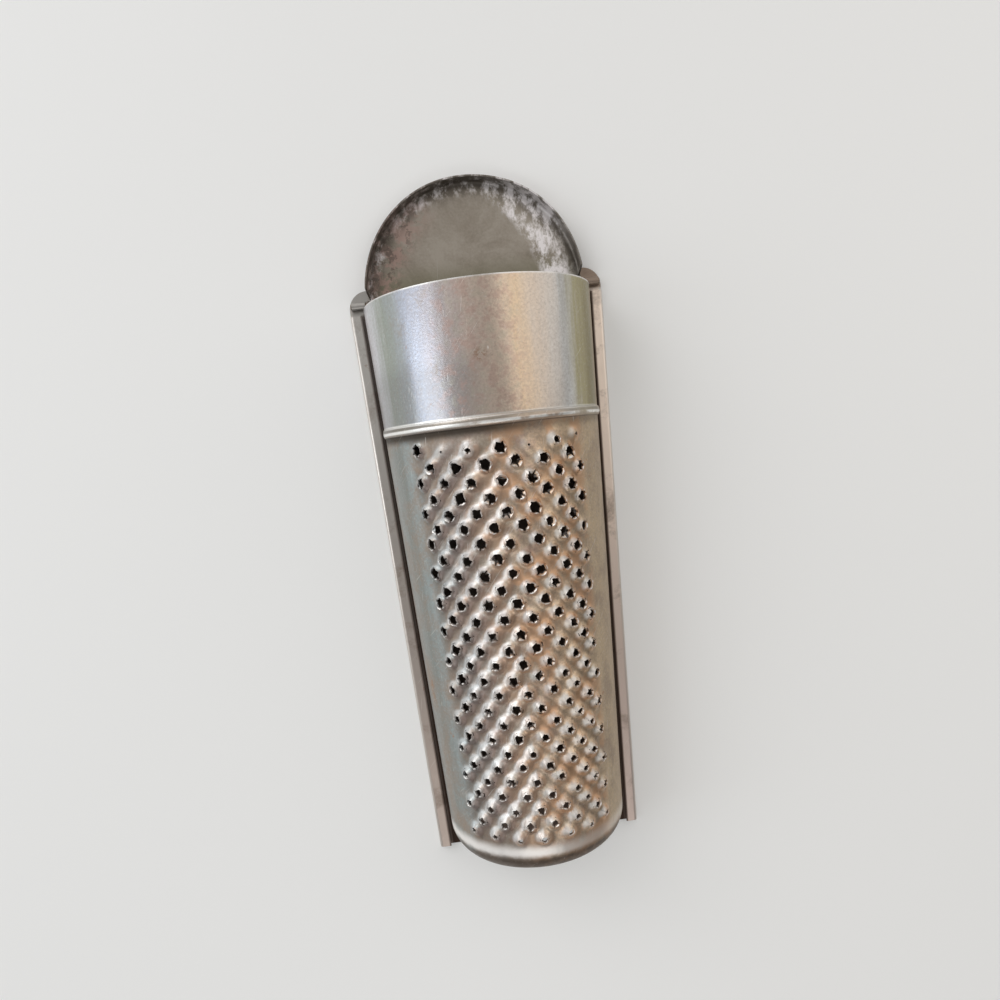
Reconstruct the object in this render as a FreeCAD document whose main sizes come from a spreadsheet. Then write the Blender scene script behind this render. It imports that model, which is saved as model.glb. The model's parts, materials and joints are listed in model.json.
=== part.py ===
import FreeCAD, Part
import math
import os

import Sketcher

# Half-round tinplate nutmeg grater, lying on its back with the lid of its nutmeg
# compartment open.  +X is across, +Y runs from the toe to the lid, +Z is up.
# The origin is on the underside of the back plate, on the centreline, where the
# folded seams end at the mouth.  Sizes are in millimetres and angles in degrees.

SIZES = (
    ("gauge", 0.35, "thickness of all the tinplate"),
    ("seam_length", 132.0, "length of the folded seams"),
    ("plate_mouth_width", 60.0, "width over the seams at the mouth"),
    ("plate_toe_width", 50.1, "width over the seams at the toe"),
    ("seam_width", 2.7, "width of the folded-over strip"),
    ("seam_height", 1.5, "height of the folded seam"),
    ("lip_length", 5.9, "back plate beyond the seam ends"),
    ("lip_corner", 4.3, "radius of the lip's two corners"),
    ("mouth_radius", 26.4, "outer radius of the front at the mouth"),
    ("toe_radius", 21.1, "outer radius that the front tapers to"),
    ("centre_height", 2.3, "half-round's centre above the underside"),
    ("mouth_rise", 0.5, "front's mouth edge beyond the seam ends"),
    ("toe_inset", 2.6, "front's toe end short of the seam ends"),
    ("shoulder_radius", 5.5, "turned-in shoulder at the toe"),
    ("bead_distance", 28.3, "seam ends to the middle of the bead"),
    ("bead_width", 2.2, "width of the raised bead"),
    ("bead_height", 0.7, "bead above the sheet"),
    ("first_row", 33.6, "seam ends to the first row of teeth"),
    ("row_pitch", 6.6, "distance between rows in one column"),
    ("row_count", 14.0, "teeth in the middle column"),
    ("column_angle", 7.06, "angle between neighbouring columns"),
    ("side_columns", 6.0, "columns on each side of the middle one"),
    ("tooth_base", 3.9, "width of a tooth where it leaves the sheet"),
    ("tooth_top", 2.3, "width of a tooth over its torn rim"),
    ("tooth_height", 0.95, "rim of a tooth above the sheet"),
    ("tooth_bore", 1.75, "width of the hole at the torn rim"),
    ("floor_turn", 2.2, "turned edge of the compartment floor"),
    ("fit_gap", 0.05, "gap between crimped or soldered faces"),
    ("pin_diameter", 1.2, "diameter of the hinge wire"),
    ("pin_length", 59.2, "length of the hinge wire"),
    ("hinge_distance", 2.25, "seam ends to the hinge axis"),
    ("sleeve_lift", 0.1, "lid's sleeve above the lip"),
    ("sleeve_length", 51.8, "length of the lid's curled sleeve"),
    ("ear_width", 3.2, "width of each ear that holds the wire"),
    ("ear_gap", 0.2, "between the sleeve and each ear"),
    ("lid_radius", 25.6, "outer radius of the lid's skirt"),
    ("skirt_depth", 4.0, "lid's skirt above its plate"),
    ("skirt_relief", 1.2, "skirt's ends past the lid's centre"),
    ("lid_tilt", 0.9, "open lid below level"),
)

# Formulas that several pieces share.
TAPER = "((@mouth_radius - @toe_radius) / (@mouth_rise + @seam_length - @toe_inset))"
KNUCKLE = "(@pin_diameter / 2 + @fit_gap + @gauge)"
PIN_HEIGHT = "(@gauge + @sleeve_lift + " + KNUCKLE + ")"
BEAD_INNER_WIDTH = "(@bead_width - @gauge)"

document = FreeCAD.newDocument("nutmeg_grater")
sheet = document.addObject("Spreadsheet::Sheet", "Sizes")
for row, (alias, value, meaning) in enumerate(SIZES, start=1):
    sheet.set("A%d" % row, meaning)
    sheet.set("B%d" % row, str(value))
    sheet.setAlias("B%d" % row, alias)
document.recompute()


def size(alias):
    """One driving size, read from the sheet."""
    return float(getattr(sheet, alias))


def cells(formula):
    """A formula with each @name written as a cell of the sheet."""
    return formula.replace("@", "Sizes.")


def worked_out(formula):
    """The number that a formula gives now."""
    return float(sheet.evalExpression(cells(formula)))


def bind(item, prop, formula):
    """Bind a property to a formula."""
    item.setExpression(prop, cells(formula))


def wall_radius(distance):
    """Formula for the front's outer radius at a distance below the seam ends."""
    return "(@mouth_radius - %s * (@mouth_rise + %s))" % (TAPER, distance)


def cap_radius(width, height):
    """Formula for the radius of an arc from the width and height of its segment."""
    return "((({0}) * ({0}) / 4 + ({1}) * ({1})) / (2 * ({1})))".format(width, height)


def new_body(label):
    """A PartDesign body with its own label and placement."""
    body = document.addObject("PartDesign::Body", label)
    body.Label = label
    body.Placement = FreeCAD.Placement()
    return body


def plane_of(body, role):
    """One of the body's own origin planes."""
    for item in body.Origin.OriginFeatures:
        if item.Role == role:
            return item
    raise ValueError("no plane " + role)


def new_sketch(body, name, role, lift):
    """A sketch on an origin plane, moved along the plane's normal by a formula."""
    sketch = body.newObject("Sketcher::SketchObject", name)
    sketch.AttachmentSupport = [(plane_of(body, role), "")]
    sketch.MapMode = "FlatFace"
    bind(sketch, "AttachmentOffset.Base.z", lift)
    return sketch


def place_point(sketch, name, edge, end, x_formula, y_formula):
    """Tie a point of the sketch to formulas for its two coordinates."""
    for kind, letter, formula in (("DistanceX", "_x", x_formula), ("DistanceY", "_y", y_formula)):
        constraint = Sketcher.Constraint(kind, -1, 1, edge, end, worked_out(formula))
        index = sketch.addConstraint(constraint)
        sketch.renameConstraint(index, name + letter)
        bind(sketch, "Constraints." + name + letter, formula)


def set_radius(sketch, name, edge, formula):
    """Tie the radius of an arc or circle to a formula."""
    index = sketch.addConstraint(Sketcher.Constraint("Radius", edge, worked_out(formula)))
    sketch.renameConstraint(index, name)
    bind(sketch, "Constraints." + name, formula)


def arc_between(start, end, radius, turns_left):
    """The arc of a radius from start to end, which turns to the left or the right."""
    chord = end.sub(start)
    reach = math.sqrt(max(radius ** 2 - (chord.Length / 2) ** 2, 0))
    side = 1 if turns_left else -1
    normal = FreeCAD.Vector(-chord.y, chord.x, 0).normalize()
    centre = start.add(end).multiply(0.5).add(normal.multiply(side * reach))
    first, last = (start, end) if turns_left else (end, start)
    angles = [math.atan2(tip.y - centre.y, tip.x - centre.x) for tip in (first, last)]
    circle = Part.Circle(centre, FreeCAD.Vector(0, 0, 1), radius)
    return Part.ArcOfCircle(circle, angles[0], angles[1])


def draw_outline(sketch, corners):
    """A closed outline through corners (x formula, y formula, arc to the next corner).

    The arc is None for a straight edge, or (radius formula, whether it turns left).
    """
    points = [FreeCAD.Vector(worked_out(x), worked_out(y), 0) for x, y, arc in corners]
    ends = []
    for index, (x, y, arc) in enumerate(corners):
        start = points[index]
        end = points[(index + 1) % len(corners)]
        if arc is None:
            edge = sketch.addGeometry(Part.LineSegment(start, end), False)
            ends.append((edge, 1, 2))
            continue
        radius, turns_left = arc
        edge = sketch.addGeometry(arc_between(start, end, worked_out(radius), turns_left), False)
        ends.append((edge, 1, 2) if turns_left else (edge, 2, 1))
    for index, (edge, start, end) in enumerate(ends):
        after = ends[(index + 1) % len(ends)]
        sketch.addConstraint(Sketcher.Constraint("Coincident", edge, end, after[0], after[1]))
    for index, (x, y, arc) in enumerate(corners):
        edge, start, end = ends[index]
        place_point(sketch, "corner%d" % index, edge, start, x, y)
        if arc is not None:
            set_radius(sketch, "radius%d" % index, edge, arc[0])


def draw_circle(sketch, name, x_formula, y_formula, radius_formula):
    """A circle with its centre and radius tied to formulas."""
    centre = FreeCAD.Vector(worked_out(x_formula), worked_out(y_formula), 0)
    circle = Part.Circle(centre, FreeCAD.Vector(0, 0, 1), worked_out(radius_formula))
    edge = sketch.addGeometry(circle, False)
    place_point(sketch, name, edge, 3, x_formula, y_formula)
    set_radius(sketch, name + "_radius", edge, radius_formula)


def pad(body, name, sketch, length, reverse=False):
    """A pad of the sketch by a formula's length."""
    feature = body.newObject("PartDesign::Pad", name)
    feature.Profile = sketch
    feature.Reversed = reverse
    bind(feature, "Length", length)
    return feature


def mirror_across(body, name, originals):
    """The features again on the other side of the centre plane."""
    feature = body.newObject("PartDesign::Mirrored", name)
    feature.Originals = originals
    feature.MirrorPlane = (plane_of(body, "YZ_Plane"), [""])
    body.Tip = feature
    return feature


def build_back_plate():
    """Tapered flat sheet.

    Both long edges are folded up and over to make the seams.  The sheet runs on past
    the mouth as a lip with rounded corners, and two ears on the lip hold the wire.
    """
    body = new_body("back_plate")
    flat = new_sketch(body, "plate_outline", "XY_Plane", "0")
    root_mouth = "(@plate_mouth_width / 2 - @seam_height / 2)"
    root_toe = "(@plate_toe_width / 2 - @seam_height / 2)"
    side = "(@plate_mouth_width / 2)"
    corner_x = "(@plate_mouth_width / 2 - @lip_corner)"
    corner_y = "(@lip_length - @lip_corner)"
    corner = ("@lip_corner", True)
    draw_outline(flat, (
        ("-" + root_toe, "-@seam_length", None),
        (root_toe, "-@seam_length", None),
        (root_mouth, "0", None),
        (side, "0", None),
        (side, corner_y, corner),
        (corner_x, "@lip_length", None),
        ("-" + corner_x, "@lip_length", corner),
        ("-" + side, corner_y, None),
        ("-" + side, "0", None),
        ("-" + root_mouth, "0", None),
    ))
    pad(body, "plate", flat, "@gauge")

    seam_mouth = new_sketch(body, "seam_at_mouth", "XZ_Plane", "0")
    draw_seam_section(seam_mouth, "@plate_mouth_width / 2")
    seam_toe = new_sketch(body, "seam_at_toe", "XZ_Plane", "@seam_length")
    draw_seam_section(seam_toe, "@plate_toe_width / 2")
    seam = body.newObject("PartDesign::AdditiveLoft", "seam")
    seam.Profile = seam_mouth
    seam.Sections = [seam_toe]
    seam.Ruled = True

    ear_outline = new_sketch(body, "ear_outline", "YZ_Plane", "@sleeve_length / 2 + @ear_gap")
    quarter = (KNUCKLE, True)
    draw_outline(ear_outline, (
        ("@hinge_distance + " + KNUCKLE, "@gauge / 2", None),
        ("@hinge_distance + " + KNUCKLE, PIN_HEIGHT, quarter),
        ("@hinge_distance", PIN_HEIGHT + " + " + KNUCKLE, quarter),
        ("@hinge_distance - " + KNUCKLE, PIN_HEIGHT, None),
        ("@hinge_distance - " + KNUCKLE, "@gauge / 2", None),
    ))
    draw_circle(ear_outline, "eye", "@hinge_distance", PIN_HEIGHT, "@pin_diameter / 2 + @fit_gap")
    ear = pad(body, "ear", ear_outline, "@ear_width")
    mirror_across(body, "other_side", [seam, ear])
    return body


def draw_seam_section(sketch, half_width):
    """Section of the folded edge: the sheet runs out, turns up and lies over itself."""
    root = half_width + " - @seam_height / 2"
    outer = ("@seam_height / 2", True)
    inner = ("@seam_height / 2 - @gauge", False)
    draw_outline(sketch, (
        (root + " - @gauge", "0", None),
        (root, "0", outer),
        (half_width, "@seam_height / 2", outer),
        (root, "@seam_height", None),
        (half_width + " - @seam_width", "@seam_height", None),
        (half_width + " - @seam_width", "@seam_height - @gauge", None),
        (root, "@seam_height - @gauge", inner),
        (half_width + " - @gauge", "@seam_height / 2", inner),
        (root, "@gauge", None),
        (root + " - @gauge", "@gauge", None),
    ))


def build_front_blank():
    """The front sheet before it is punched.

    A half-round taper on short upright legs, with a bead pressed outwards across it, a
    shoulder turned in at the toe and a flat flange along each side.
    """
    body = new_body("front_blank")
    profile = new_sketch(body, "wall_profile", "XY_Plane", "@centre_height")
    draw_wall_profile(profile)
    round_wall = body.newObject("PartDesign::Revolution", "round_wall")
    round_wall.Profile = profile
    round_wall.ReferenceAxis = (profile, ["V_Axis"])
    round_wall.Angle = 180
    round_wall.Reversed = True
    leg = pad(body, "leg", profile, "@centre_height - @gauge", reverse=True)

    flange_outline = new_sketch(body, "flange_outline", "XY_Plane", "@gauge")
    toe_end = "(@seam_length - @toe_inset)"
    edge_taper = "((@plate_mouth_width - @plate_toe_width) / 2 / @seam_length)"
    outer_mouth = "(@plate_mouth_width / 2 - @seam_height / 2)"
    draw_outline(flange_outline, (
        (wall_radius("0") + " - @gauge / 2", "0", None),
        (wall_radius(toe_end) + " - @gauge / 2", "-" + toe_end, None),
        (outer_mouth + " - " + edge_taper + " * " + toe_end, "-" + toe_end, None),
        (outer_mouth, "0", None),
    ))
    flange = pad(body, "flange", flange_outline, "2 * @gauge")
    mirror_across(body, "other_side", [leg, flange])
    return body


def draw_wall_profile(sketch):
    """The wall's thickness along the +X side, from the mouth to the turned-in toe."""
    toe = "(@seam_length - @toe_inset)"
    shoulder = "(@seam_length - @toe_inset - @shoulder_radius)"
    shoulder_wall = wall_radius(shoulder)
    bead_above = "(@bead_distance - @bead_width / 2)"
    bead_below = "(@bead_distance + @bead_width / 2)"
    inner_above = "(@bead_distance - " + BEAD_INNER_WIDTH + " / 2)"
    inner_below = "(@bead_distance + " + BEAD_INNER_WIDTH + " / 2)"
    outer_bead = (cap_radius("@bead_width", "@bead_height"), True)
    inner_bead = (cap_radius(BEAD_INNER_WIDTH, "@bead_height"), False)
    draw_outline(sketch, (
        ("@mouth_radius", "@mouth_rise", None),
        ("@mouth_radius - @gauge", "@mouth_rise", None),
        (wall_radius(inner_above) + " - @gauge", "-" + inner_above, inner_bead),
        (wall_radius(inner_below) + " - @gauge", "-" + inner_below, None),
        (shoulder_wall + " - @gauge", "-" + shoulder, ("@shoulder_radius - @gauge", False)),
        (shoulder_wall + " - @shoulder_radius", "@gauge - " + toe, None),
        (shoulder_wall + " - @shoulder_radius", "-" + toe, ("@shoulder_radius", True)),
        (shoulder_wall, "-" + shoulder, None),
        (wall_radius(bead_below), "-" + bead_below, outer_bead),
        (wall_radius(bead_above), "-" + bead_above, None),
    ))


def tooth_places():
    """Base and outward direction of every tooth on the tapered wall.

    The columns fan out from the apex of the taper, and every other one is moved down
    by half a row and has a tooth less.
    """
    taper = worked_out(TAPER)
    slope = math.atan(taper)
    side = int(size("side_columns"))
    rows = int(size("row_count"))
    places = []
    for column in range(-side, side + 1):
        staggered = column % 2
        turn = math.radians(column * size("column_angle"))
        for row in range(rows - staggered):
            distance = size("first_row") + (row + staggered / 2) * size("row_pitch")
            radius = size("mouth_radius") - taper * (size("mouth_rise") + distance)
            base = FreeCAD.Vector(
                radius * math.sin(turn), -distance, size("centre_height") + radius * math.cos(turn))
            outward = FreeCAD.Vector(
                math.sin(turn) * math.cos(slope), -math.sin(slope), math.cos(turn) * math.cos(slope))
            places.append(FreeCAD.Placement(base, FreeCAD.Rotation(FreeCAD.Vector(0, 0, 1), outward)))
    return places


def hexagon(radius, height):
    """A flat hexagon round the tooth's axis."""
    corners = []
    for index in range(6):
        angle = math.radians(60 * index + 30)
        corners.append(FreeCAD.Vector(radius * math.cos(angle), radius * math.sin(angle), height))
    return Part.makePolygon(corners + corners[:1])


def repeated(label, shape, places):
    """A feature that holds a copy of the shape at every place."""
    copies = []
    for place in places:
        copy = shape.copy()
        copy.Placement = place
        copies.append(copy)
    feature = document.addObject("Part::Feature", label)
    feature.Label = label
    feature.Shape = Part.makeCompound(copies)
    feature.Placement = FreeCAD.Placement()
    return feature


def build_grater_front():
    """The front sheet with its teeth.

    Each tooth is punched outwards from inside: a six-sided crater with a torn rim, and
    a hole through it that narrows towards the rim.
    """
    blank = build_front_blank()
    gauge = size("gauge")
    height = size("tooth_height")
    base = size("tooth_base") / 2
    top = size("tooth_top") / 2
    bore = size("tooth_bore") / 2
    narrowing = (base - gauge - bore) / (gauge + height)
    crater = Part.makeLoft([hexagon(base, -gauge / 2), hexagon(top, height)], True, True)
    below = hexagon(base - gauge + narrowing * gauge, -2 * gauge)
    above = hexagon(bore - narrowing * gauge, height + gauge)
    punch = Part.makeLoft([below, above], True, True)
    places = tooth_places()

    raised = document.addObject("Part::Fuse", "raised_sheet")
    raised.Refine = False
    raised.Base = blank
    raised.Tool = repeated("craters", crater, places)
    front = document.addObject("Part::Cut", "grater_front")
    front.Label = "grater_front"
    front.Refine = False
    front.Base = raised
    front.Tool = repeated("punches", punch, places)
    front.Placement = FreeCAD.Placement()
    return front


def build_compartment_floor():
    """D-shaped partition under the bead.

    A flat plate across the half-round, with its curved edge turned towards the mouth
    and soldered to the wall.
    """
    body = new_body("compartment_floor")
    reach = "(" + wall_radius("@bead_distance + @gauge") + " - @gauge - @fit_gap)"
    outline = new_sketch(body, "floor_outline", "XZ_Plane", "@bead_distance")
    bottom = "@gauge + @fit_gap"
    quarter = (reach, True)
    draw_outline(outline, (
        ("-" + reach, bottom, None),
        (reach, bottom, None),
        (reach, "@centre_height", quarter),
        ("0", "@centre_height + " + reach, quarter),
        ("-" + reach, "@centre_height", None),
    ))
    plate = pad(body, "floor_plate", outline, "@gauge")
    rim = new_sketch(body, "turned_edge", "XZ_Plane", "@bead_distance")
    inside = "(" + reach + " - @gauge)"
    draw_outline(rim, (
        (inside, "@centre_height", None),
        (reach, "@centre_height", quarter),
        ("0", "@centre_height + " + reach, quarter),
        ("-" + reach, "@centre_height", None),
        ("-" + inside, "@centre_height", (inside, False)),
        ("0", "@centre_height + " + inside, (inside, False)),
    ))
    pad(body, "turned_rim", rim, "@floor_turn", reverse=True)
    return body


def build_lid():
    """D-shaped lid of the nutmeg compartment.

    One sheet with a skirt drawn up round its curve, which plugs into the mouth, and its
    straight edge curled into a sleeve round the hinge wire.
    """
    body = new_body("lid")
    body.Placement.Rotation = FreeCAD.Rotation(FreeCAD.Vector(-1, 0, 0), 1)
    bind(body, "Placement.Base.y", "@hinge_distance")
    bind(body, "Placement.Base.z", PIN_HEIGHT)
    bind(body, "Placement.Rotation.Angle", "@lid_tilt")
    centre = "(@centre_height - " + PIN_HEIGHT + ")"
    quarter = ("@lid_radius", True)
    outline = new_sketch(body, "lid_outline", "XY_Plane", "-" + KNUCKLE)
    draw_outline(outline, (
        ("-@lid_radius", "0", None),
        ("@lid_radius", "0", None),
        ("@lid_radius", centre, quarter),
        ("0", centre + " + @lid_radius", quarter),
        ("-@lid_radius", centre, None),
    ))
    pad(body, "lid_plate", outline, "@gauge")

    skirt = new_sketch(body, "skirt_outline", "XY_Plane", "-" + KNUCKLE)
    inside = "(@lid_radius - @gauge)"
    outer_end = "sqrt(@lid_radius * @lid_radius - @skirt_relief * @skirt_relief)"
    inner_end = "sqrt({0} * {0} - @skirt_relief * @skirt_relief)".format(inside)
    end_height = centre + " + @skirt_relief"
    draw_outline(skirt, (
        (inner_end, end_height, None),
        (outer_end, end_height, quarter),
        ("0", centre + " + @lid_radius", quarter),
        ("-" + outer_end, end_height, None),
        ("-" + inner_end, end_height, (inside, False)),
        ("0", centre + " + " + inside, (inside, False)),
    ))
    pad(body, "skirt", skirt, "@gauge + @skirt_depth")

    curl = new_sketch(body, "sleeve_section", "YZ_Plane", "-@sleeve_length / 2")
    draw_circle(curl, "sleeve_outside", "0", "0", KNUCKLE)
    draw_circle(curl, "sleeve_bore", "0", "0", "@pin_diameter / 2 + @fit_gap")
    pad(body, "sleeve", curl, "@sleeve_length")
    return body


def build_hinge_pin():
    """Straight steel wire through both ears and the lid's sleeve."""
    pin = document.addObject("Part::Cylinder", "hinge_pin")
    pin.Label = "hinge_pin"
    pin.Placement.Rotation = FreeCAD.Rotation(FreeCAD.Vector(0, 1, 0), 90)
    bind(pin, "Radius", "@pin_diameter / 2")
    bind(pin, "Height", "@pin_length")
    bind(pin, "Placement.Base.x", "-@pin_length / 2")
    bind(pin, "Placement.Base.y", "@hinge_distance")
    bind(pin, "Placement.Base.z", PIN_HEIGHT)
    return pin


def check_document(subparts):
    """Stop if any object failed, or if a sub-part isn't a valid solid."""
    for item in document.Objects:
        if "Invalid" in item.State or "Error" in item.State:
            raise RuntimeError(item.Label + " failed: " + str(item.State))
    for item in subparts:
        shape = item.Shape
        if shape.isNull() or not shape.isValid() or not shape.Solids:
            raise RuntimeError(item.Label + " isn't a valid solid")


def main():
    subparts = [
        build_back_plate(),
        build_grater_front(),
        build_compartment_floor(),
        build_lid(),
        build_hinge_pin(),
    ]
    document.recompute()
    check_document(subparts)
    os.makedirs("parts", exist_ok=True)
    for item in subparts:
        item.Shape.exportStep(os.path.join("parts", item.Label + ".step"))
        box = item.Shape.BoundBox
        print("%s: %d solid, %.1f mm3, X %.2f..%.2f Y %.2f..%.2f Z %.2f..%.2f" % (
            item.Label, len(item.Shape.Solids), item.Shape.Volume,
            box.XMin, box.XMax, box.YMin, box.YMax, box.ZMin, box.ZMax))


main()
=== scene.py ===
import json
import math

import bmesh
import bpy
import numpy as np
from mathutils import Matrix, Vector


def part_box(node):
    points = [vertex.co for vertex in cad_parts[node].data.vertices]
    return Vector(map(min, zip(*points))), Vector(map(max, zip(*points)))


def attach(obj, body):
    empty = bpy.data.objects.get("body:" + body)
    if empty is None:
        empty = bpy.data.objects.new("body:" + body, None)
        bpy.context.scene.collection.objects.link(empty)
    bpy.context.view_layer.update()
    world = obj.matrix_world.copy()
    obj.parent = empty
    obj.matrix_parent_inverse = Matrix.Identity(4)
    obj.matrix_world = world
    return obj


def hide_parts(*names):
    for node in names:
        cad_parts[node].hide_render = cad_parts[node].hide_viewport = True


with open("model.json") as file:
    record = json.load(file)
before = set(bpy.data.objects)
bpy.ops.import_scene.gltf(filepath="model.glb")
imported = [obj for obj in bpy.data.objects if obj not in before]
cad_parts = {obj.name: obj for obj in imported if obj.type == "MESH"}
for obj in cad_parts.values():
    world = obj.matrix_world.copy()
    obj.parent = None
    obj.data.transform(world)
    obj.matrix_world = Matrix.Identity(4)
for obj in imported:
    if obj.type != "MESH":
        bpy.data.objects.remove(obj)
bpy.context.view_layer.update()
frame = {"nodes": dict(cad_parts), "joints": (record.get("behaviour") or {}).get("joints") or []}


# ---- Front sheet -------------------------------------------------------------------------
# One sheet of thin tinplate, rolled half-round and tapered, with a bead pressed across it
# and 176 teeth punched outwards from inside.  Each punch lifts a small dome and tears its
# top into a ragged star.  The toe is turned in over a former and the feet sit in the seams.

MM = 0.001
GAUGE = 0.35 * MM
CENTRE_HEIGHT = 2.3 * MM
FOOT_HEIGHT = 3 * GAUGE
MOUTH_RADIUS = 26.4 * MM
TOE_RADIUS = 21.1 * MM
SEAM_LENGTH = 132.0 * MM
TOE_INSET = 2.6 * MM
SHOULDER_RADIUS = 5.5 * MM

front_low, front_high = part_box("grater_front")
mouth_rise = front_high.y
toe_distance = -front_low.y
shoulder_distance = toe_distance - SHOULDER_RADIUS
taper = (MOUTH_RADIUS - TOE_RADIUS) / (mouth_rise + SEAM_LENGTH - TOE_INSET)


def wall_radius(down):
    """Outer radius of the straight taper at a distance below the seam ends."""
    return MOUTH_RADIUS - taper * (mouth_rise + down)


def smooth(value, low, high):
    """0 below low, 1 above high, and an S-curve between."""
    part = np.clip((value - low) / (high - low), 0, 1)
    return part * part * (3 - 2 * part)


def steps(low, high, count):
    """So many equal steps from a low value, which is left out, up to a high one."""
    return np.linspace(low, high, count + 1)[1:]


def sheet_point(turn, radius, y):
    """A point on the section: an arc of the radius about the centre line while the turn
    from the crown is under a quarter, and then straight down to the foot, which it reaches
    one radian further on."""
    past = np.clip(np.abs(turn) - math.pi / 2, 0, 1)
    x = radius * np.where(past > 0, np.sign(turn), np.sin(turn))
    rise = np.where(past > 0, 0, radius * np.cos(turn))
    z = CENTRE_HEIGHT + rise - past * (CENTRE_HEIGHT - FOOT_HEIGHT)
    return np.stack(np.broadcast_arrays(x, y, z), -1)


def new_object(name, data):
    """An object with the data, linked into the scene."""
    made = bpy.data.objects.new(name, data)
    bpy.context.scene.collection.objects.link(made)
    return made


MERGE_DISTANCE = 0.001 * MM
SHARP_ANGLE = math.radians(50)


def sheet_object(name, points, faces, values):
    """A piece of sheet from arrays of points and quads, with named values at its points.
    Points closer than a micrometre are merged, the faces are wound outwards as given, and
    the gauge of the sheet is added inwards."""
    mesh = bpy.data.meshes.new(name)
    mesh.from_pydata(points.reshape(-1, 3).tolist(), [], faces.tolist())
    for key, value in values.items():
        layer = mesh.attributes.new(key, "FLOAT", "POINT")
        layer.data.foreach_set("value", np.ascontiguousarray(value, np.float32).ravel())
    work = bmesh.new()
    work.from_mesh(mesh)
    bmesh.ops.remove_doubles(work, verts=work.verts, dist=MERGE_DISTANCE)
    work.to_mesh(mesh)
    work.free()
    made = new_object(name, mesh)
    shell = made.modifiers.new("thickness", "SOLIDIFY")
    shell.thickness = GAUGE
    shell.offset = -1
    graph = bpy.context.evaluated_depsgraph_get()
    made.data = bpy.data.meshes.new_from_object(made.evaluated_get(graph))
    made.modifiers.clear()
    made.data.shade_smooth()
    made.data.set_sharp_from_angle(angle=SHARP_ANGLE)
    return made


def grid_faces(rows, columns, closed=False):
    """Quads between neighbouring points of a grid whose points are numbered row by row.  A
    closed grid joins its last column to its first."""
    last = columns if closed else columns - 1
    row, column = np.meshgrid(np.arange(rows - 1), np.arange(last), indexing="ij")
    after = (column + 1) % columns
    corners = (row * columns + column, row * columns + after,
               (row + 1) * columns + after, (row + 1) * columns + column)
    return np.stack(corners, -1)


# The teeth stand in columns along the sheet.  Odd columns from the crown lie half a row
# lower and hold one tooth fewer.
FIRST_ROW = 33.6 * MM
ROW_PITCH = 6.6 * MM
ROWS = 14
SIDE_COLUMNS = 6
COLUMN_ANGLE = math.radians(7.06)
CROWN_SAG = 0.076
SIDE_LIFT = 0.144
half_turn = (SIDE_COLUMNS + 0.5) * COLUMN_ANGLE

# Each tooth has its own strength, offset, width, star of petals and lean.  The holes grow
# smaller towards the toe, and some of them more so on the right.
WEAKEST = 0.75
STRONGEST = 1.15
TOOTH_DRIFT = 0.16 * MM
SMALLEST_HOLE = 1.05
LARGEST_HOLE = 1.35
LOSS_AT_TOE = 0.32
LOSS_ON_RIGHT = 0.2
LAST_ROW_SHARE = 0.7
FEWEST_PETALS = 3
MOST_PETALS = 6
LEAN_ANGLE = -2.3
LEAN_SPREAD = 1.0

rng = np.random.default_rng(11)
column_of, row_of = np.meshgrid(
    np.arange(-SIDE_COLUMNS, SIDE_COLUMNS + 1), np.arange(ROWS), indexing="ij")
all_teeth = column_of.shape
strength = rng.uniform(WEAKEST, STRONGEST, all_teeth)
shift_across = rng.normal(0, TOOTH_DRIFT, all_teeth)
shift_down = rng.normal(0, TOOTH_DRIFT, all_teeth)
hole_radius = rng.uniform(SMALLEST_HOLE, LARGEST_HOLE, all_teeth) * MM
toeward_loss = LOSS_AT_TOE * smooth(row_of, 2, 12)
on_right = smooth(column_of, 1, 4)
right_loss = LOSS_ON_RIGHT * rng.random(all_teeth) * on_right * smooth(row_of, 2, 6)
hole_radius *= 1 - toeward_loss - right_loss
hole_radius[:, -1] *= LAST_ROW_SHARE
petals = rng.integers(FEWEST_PETALS, MOST_PETALS + 1, all_teeth)
petal_phase = rng.uniform(0, 2 * math.pi, all_teeth)
lean = rng.normal(LEAN_ANGLE, LEAN_SPREAD, all_teeth)

# Weak teeth of the first row: column, strength, and radius of the hole in millimetres.
WEAK_TEETH = ((-4, 0.3, 0.25), (-2, 1.2, 0.6), (2, 0.3, 0.25), (4, 0.8, 0.8), (6, 0.5, 0.35))
for weak_column, raised, torn_to in WEAK_TEETH:
    strength[weak_column + SIDE_COLUMNS, 0] = raised
    hole_radius[weak_column + SIDE_COLUMNS, 0] = torn_to * MM


def odd(column):
    """1 for an odd column from the crown and 0 for an even one."""
    return np.abs(column) % 2


def sag(column):
    """How many rows lower a tooth lies than on a straight row: a little lower at the crown
    and higher at both sides, by the square of the column, as the rolled rows curve."""
    return CROWN_SAG - SIDE_LIFT * (column / SIDE_COLUMNS) ** 2


BEAD_DISTANCE = 28.3 * MM
BEAD_WIDTH = 2.2 * MM
BEAD_HEIGHT = 0.7 * MM
BEAD_FADE = 0.75
BEAD_FADES_FROM = 1.2
BEAD_FADES_TO = 1.6
RIDGE_HEIGHT = 0.42 * MM
RIDGE_MARGIN = 0.5
RIDGE_FADE_ACROSS = 1.1
RIDGE_FADE_START = 0.8
RIDGE_FADE_END = 0.9
DOME_HEIGHT = 1.05 * MM
DOME_REACH = 2.35 * MM


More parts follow.
